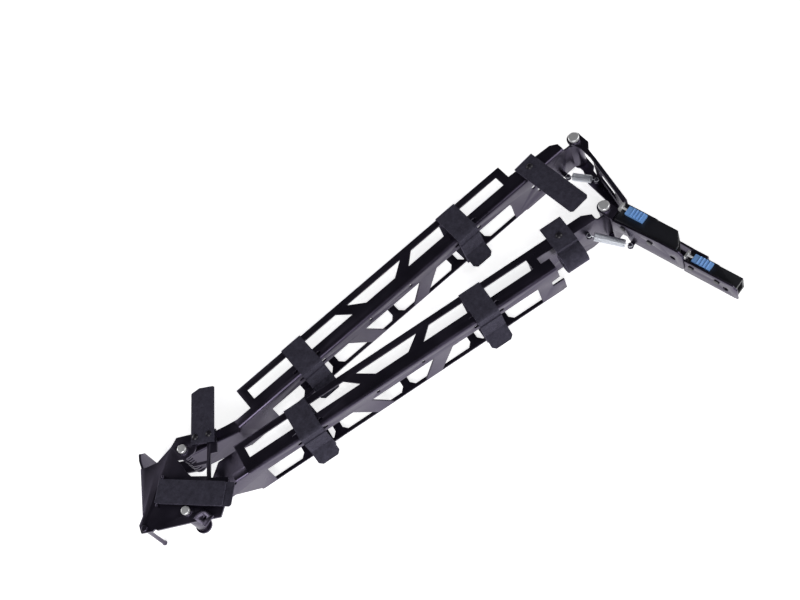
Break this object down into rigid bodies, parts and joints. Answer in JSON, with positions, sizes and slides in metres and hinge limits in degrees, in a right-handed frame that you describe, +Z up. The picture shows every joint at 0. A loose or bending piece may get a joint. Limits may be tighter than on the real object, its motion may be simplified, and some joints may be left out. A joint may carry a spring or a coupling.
{
  "type": "server cable management arm",
  "caption": "Folding rack cable management arm: two steel trellis baskets hinged at an elbow bracket, with hook-and-loop straps and two spring-loaded slide latches.",
  "frame": {"origin": "on the rear hinge pin's axis, level with the underside of the pin heads the arm rests on", "axes": "+Z up along the hinge pins, +X across the rack from the elbow to the slide brackets, -Y into the rack, the way the slide latches point"},
  "size_m": [0.4848, 0.3273, 0.0469],
  "materials": {
    "black_steel": "black powder coat",
    "zinc_steel": "zinc plated",
    "black_plastic": "moulded",
    "bush_nylon": "moulded",
    "blue_plastic": "moulded",
    "strap_fabric": "woven hook and loop",
    "spring_steel": "bright wire"
  },
  "bodies": {
    "outer_slide_bracket": {"outer_link": "black_steel", "outer_latch_plate": "black_steel", "outer_latch_housing": "black_plastic", "outer_guide_rod": "zinc_steel", "outer_rivets": "zinc_steel", "rear_hinge_pin": "zinc_steel", "rear_spring": "spring_steel"},
    "outer_tab": {"outer_release_tab": "blue_plastic"},
    "rear_arm": {"rear_basket": "black_steel", "rear_bushes": "bush_nylon", "rear_strap_left": "strap_fabric", "rear_strap_right": "strap_fabric", "rear_end_strap": "strap_fabric", "rear_strap_rivets": "zinc_steel"},
    "elbow": {"elbow_bracket": "black_steel", "elbow_top_plate": "black_steel", "elbow_rear_pin": "zinc_steel", "elbow_front_pin": "zinc_steel", "elbow_guide_post": "black_steel", "elbow_rear_strap": "strap_fabric", "elbow_front_strap": "strap_fabric", "elbow_strap_bar": "black_steel", "elbow_rivets": "zinc_steel"},
    "front_arm": {"front_basket": "black_steel", "front_bushes": "bush_nylon", "front_strap_left": "strap_fabric", "front_strap_right": "strap_fabric", "front_end_strap": "strap_fabric", "front_strap_rivets": "zinc_steel"},
    "inner_slide_bracket": {"inner_bracket": "black_steel", "inner_latch_housing": "black_plastic", "inner_guide_rod": "zinc_steel", "inner_rivets": "zinc_steel", "front_hinge_pin": "zinc_steel", "front_spring": "spring_steel"},
    "inner_tab": {"inner_release_tab": "blue_plastic"}
  },
  "joints": [
    {"name": "rear_hinge", "type": "hinge", "parent": "outer_slide_bracket", "child": "rear_arm", "pos_m": [0, 0, 0], "axis": [0, 0, 1], "range_deg": [0, 60], "deforming": ["rear_spring"]},
    {"name": "elbow_rear_hinge", "type": "hinge", "parent": "rear_arm", "child": "elbow", "pos_m": [-0.40547, 0.10908, 0], "axis": [0, 0, 1], "range_deg": [-45, 0]},
    {"name": "elbow_front_hinge", "type": "hinge", "parent": "elbow", "child": "front_arm", "pos_m": [-0.4425, 0.06978, 0], "axis": [0, 0, 1], "range_deg": [-45, 0]},
    {"name": "front_hinge", "type": "hinge", "parent": "front_arm", "child": "inner_slide_bracket", "pos_m": [-0.04171, -0.06079, 0], "axis": [0, 0, 1], "range_deg": [0, 30], "deforming": ["front_spring"]},
    {"name": "outer_tab_slide", "type": "slide", "parent": "outer_slide_bracket", "child": "outer_tab", "axis": [0, 1, 0], "range_m": [0, 0.004], "stiffness_N_per_m": 400},
    {"name": "inner_tab_slide", "type": "slide", "parent": "inner_slide_bracket", "child": "inner_tab", "axis": [0, 1, 0], "range_m": [0, 0.004], "stiffness_N_per_m": 400}
  ],
  "couplings": [
    {"joint": "elbow_rear_hinge", "follows": "rear_hinge", "ratio": -0.75},
    {"joint": "elbow_front_hinge", "follows": "rear_hinge", "ratio": -0.75},
    {"joint": "front_hinge", "follows": "rear_hinge", "ratio": 0.5}
  ]
}
